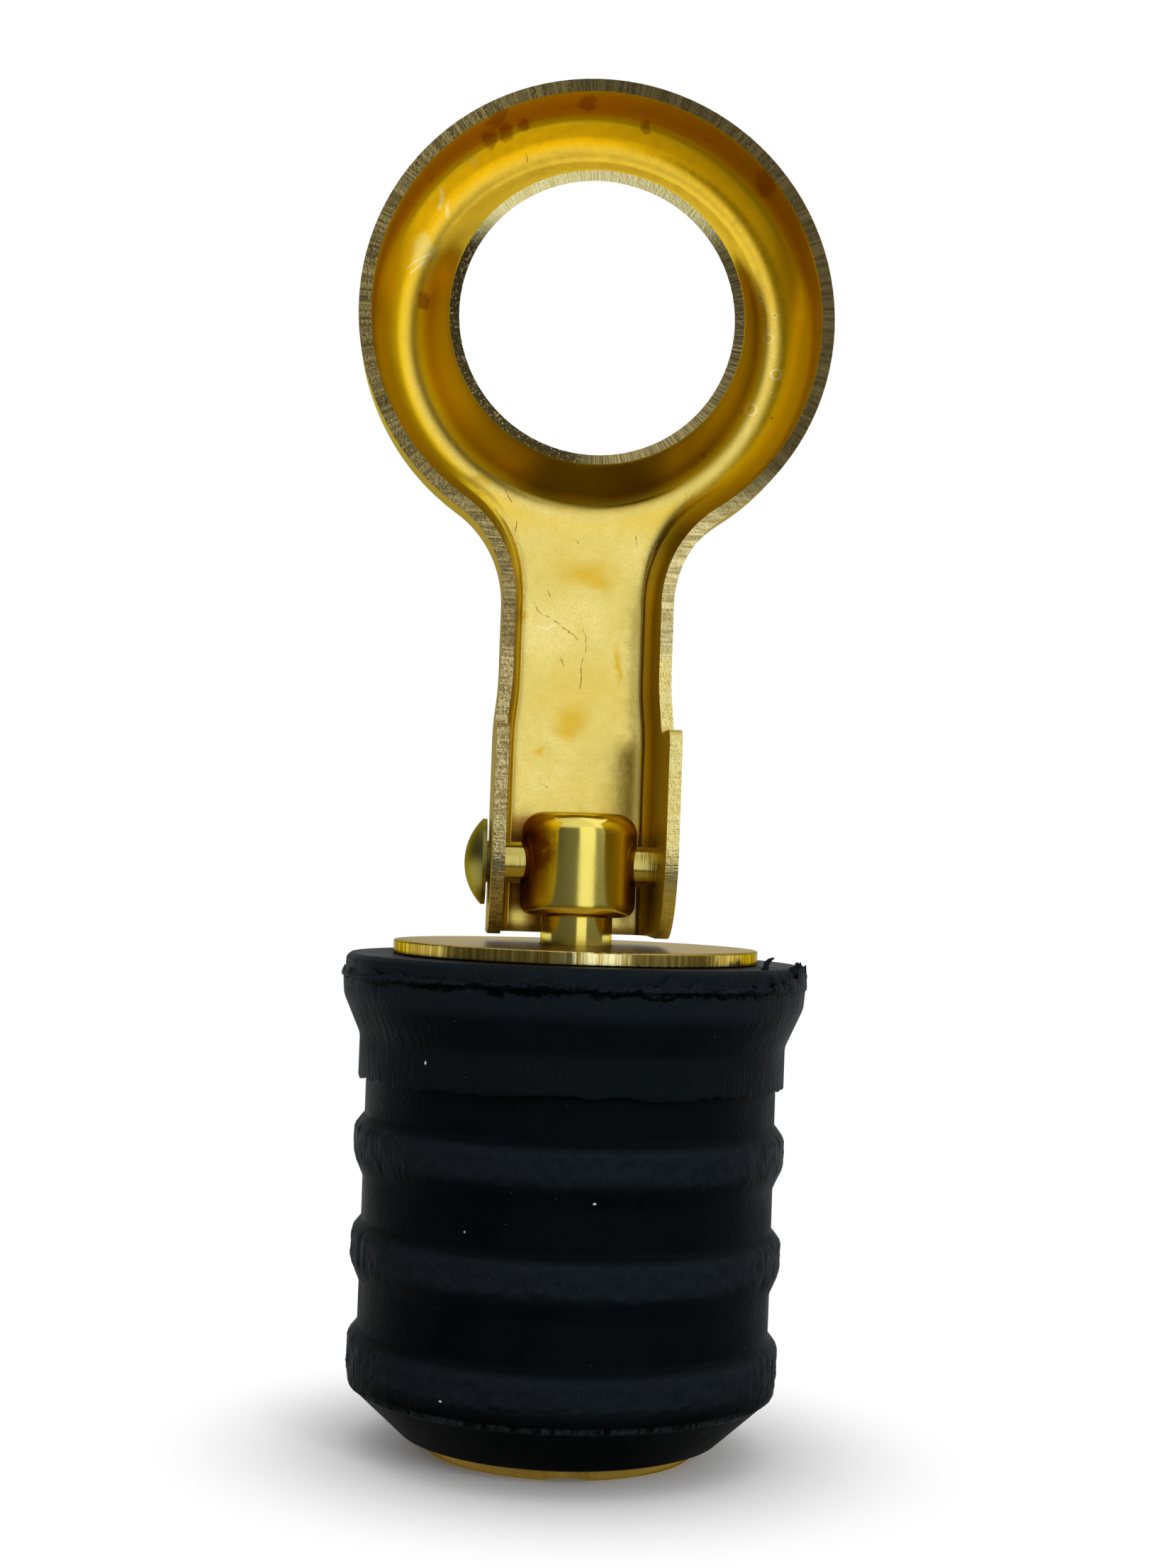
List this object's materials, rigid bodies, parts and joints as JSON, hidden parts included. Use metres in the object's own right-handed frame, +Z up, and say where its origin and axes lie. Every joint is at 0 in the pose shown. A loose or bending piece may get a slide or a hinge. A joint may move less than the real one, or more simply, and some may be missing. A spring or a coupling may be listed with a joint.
{
  "type": "expanding drain plug",
  "caption": "Brass snap-handle drain plug for a boat: cam ears on a ring handle press a washer onto a ribbed rubber body, which swells to seal the drain tube.",
  "frame": {"origin": "underside centre of the bottom nut's flange, on the post's axis", "axes": "+Z up along the post, -Y towards the open side of the handle's channel and the way the handle folds, rivet along X with its head at -X"},
  "size_m": [0.0348, 0.0338, 0.0994],
  "materials": {
    "handle_brass": "lacquered, tarnished",
    "post_brass": "turned",
    "rivet_brass": "turned, dull",
    "washer_brass": "bright, scratched",
    "nut_brass": "dull",
    "black_rubber": "satin, moulded"
  },
  "bodies": {
    "plug": {"rubber_body": "black_rubber", "tee_nut": "nut_brass"},
    "post": {"draw_post": "post_brass"},
    "handle": {"cam_handle": "handle_brass", "pivot_rivet": "rivet_brass"},
    "washer": {"top_washer": "washer_brass"}
  },
  "joints": [
    {"name": "adjust_turn", "type": "hinge", "parent": "plug", "child": "post", "pos_m": [0, 0, 0], "axis": [0, 0, 1], "continuous": true},
    {"name": "handle_fold", "type": "hinge", "parent": "post", "child": "handle", "pos_m": [0, 0, 0.0418], "axis": [1, 0, 0], "range_deg": [0, 90]},
    {"name": "washer_press", "type": "slide", "parent": "plug", "child": "washer", "axis": [0, 0, -1], "range_m": [0, 0.00176], "deforming": ["rubber_body"]}
  ],
  "couplings": [
    {"joint": "washer_press", "follows": "handle_fold", "m_per_rad": 0.0011141}
  ]
}
